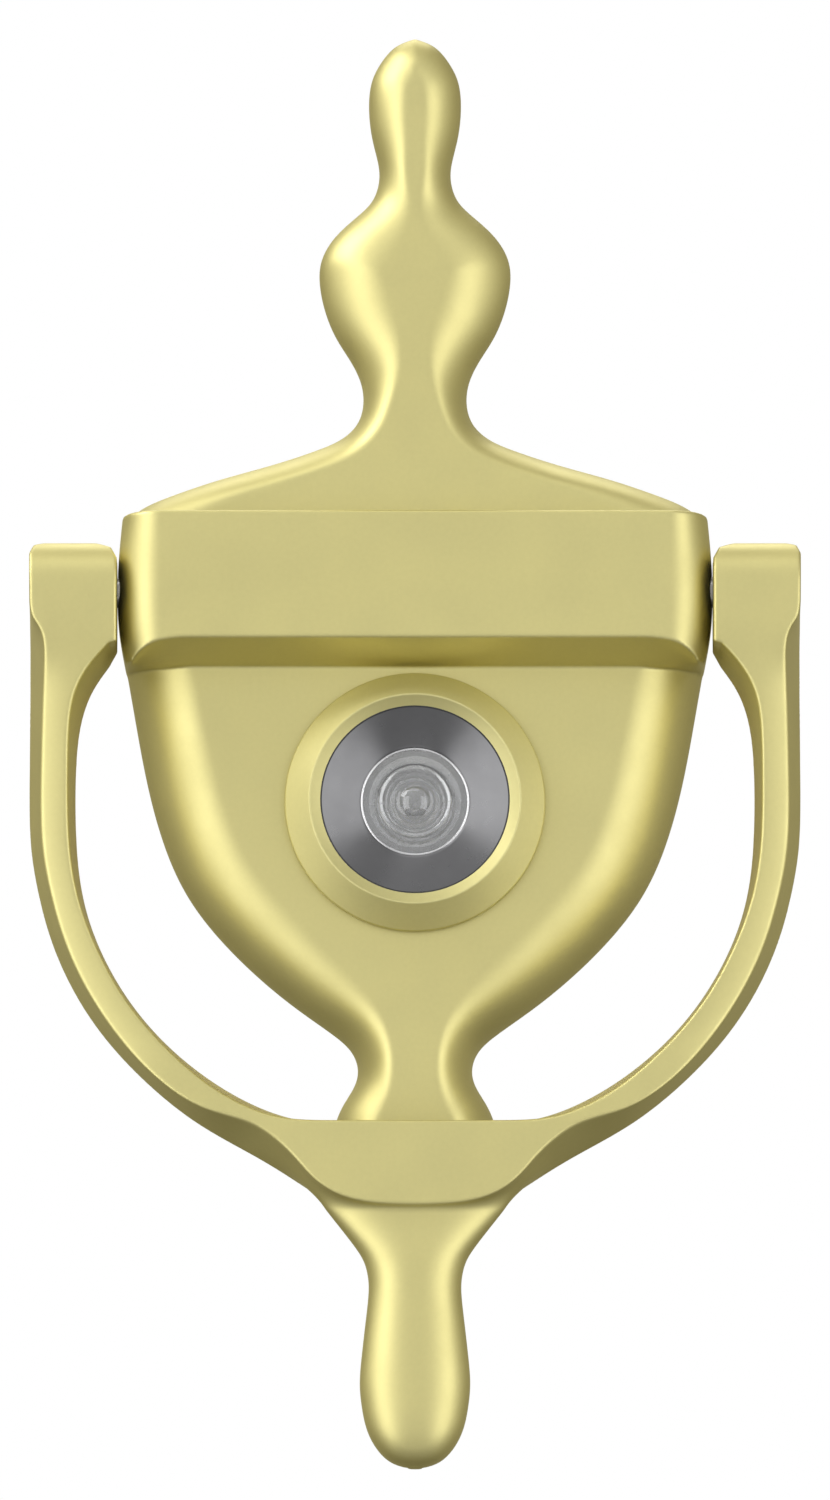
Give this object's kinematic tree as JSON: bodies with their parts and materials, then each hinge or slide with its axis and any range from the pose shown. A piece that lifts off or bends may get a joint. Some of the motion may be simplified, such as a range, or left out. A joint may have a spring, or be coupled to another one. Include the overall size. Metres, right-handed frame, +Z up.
{
  "type": "door knocker with viewer",
  "caption": "Urn-shaped brass door knocker with a swinging stirrup and a screw-in door viewer through its middle, with fixings for a 44 mm door.",
  "frame": {"origin": "on the viewer's axis, in the plane of the door's outer face", "axes": "+Z up along the door, +Y into the door along the viewer's barrel, +X to the right as seen from outside"},
  "size_m": [0.101, 0.0696, 0.1909],
  "materials": {
    "satin_brass": "satin lacquered brass",
    "viewer_brass": "turned satin brass",
    "cap_brass": "pressed satin brass",
    "steel_pin": "ground",
    "zinc_steel": "zinc plated",
    "dark_cup": "black satin",
    "black_plastic": "matt",
    "nylon": "black",
    "fibre": "vulcanised fibre",
    "lens_glass": "polished"
  },
  "bodies": {
    "plate": {"urn_plate": "satin_brass", "strike_stud": "satin_brass", "pivot_pin_left": "steel_pin", "pivot_pin_right": "steel_pin", "viewer_outer_barrel": "viewer_brass", "lens_cup": "dark_cup", "front_lens": "lens_glass", "lens_spacer": "zinc_steel", "second_lens": "lens_glass", "lens_retainer": "zinc_steel", "upper_fixing_bolt": "zinc_steel", "lower_fixing_bolt": "zinc_steel", "upper_bolt_washer": "zinc_steel", "lower_bolt_washer": "zinc_steel", "upper_bolt_cap": "cap_brass", "lower_bolt_cap": "cap_brass"},
    "knocker": {"knocker": "satin_brass", "pivot_bush_left": "nylon", "pivot_bush_right": "nylon"},
    "screw_travel": {"inner_washer": "fibre"},
    "eyepiece": {"viewer_inner_barrel": "viewer_brass", "eyepiece_lens": "lens_glass", "eyepiece_retainer": "black_plastic", "cover_rivet": "viewer_brass"},
    "cover": {"privacy_cover": "viewer_brass"}
  },
  "joints": [
    {"name": "knocker_swing", "type": "hinge", "parent": "plate", "child": "knocker", "pos_m": [0, -0.0095, 0.0279], "axis": [-1, 0, 0], "range_deg": [0, 165]},
    {"name": "barrel_travel", "type": "slide", "parent": "plate", "child": "screw_travel", "axis": [0, 1, 0], "range_m": [-0.008, 0.012]},
    {"name": "barrel_turn", "type": "hinge", "parent": "screw_travel", "child": "eyepiece", "pos_m": [0, 0.044, 0], "axis": [0, 1, 0], "range_deg": [-2881, 4321]},
    {"name": "cover_swing", "type": "hinge", "parent": "eyepiece", "child": "cover", "pos_m": [0, 0.0478, 0.0114], "axis": [0, 1, 0], "range_deg": [-110, 110]}
  ],
  "couplings": [
    {"joint": "barrel_turn", "follows": "barrel_travel", "rad_per_m": 6283.2}
  ]
}
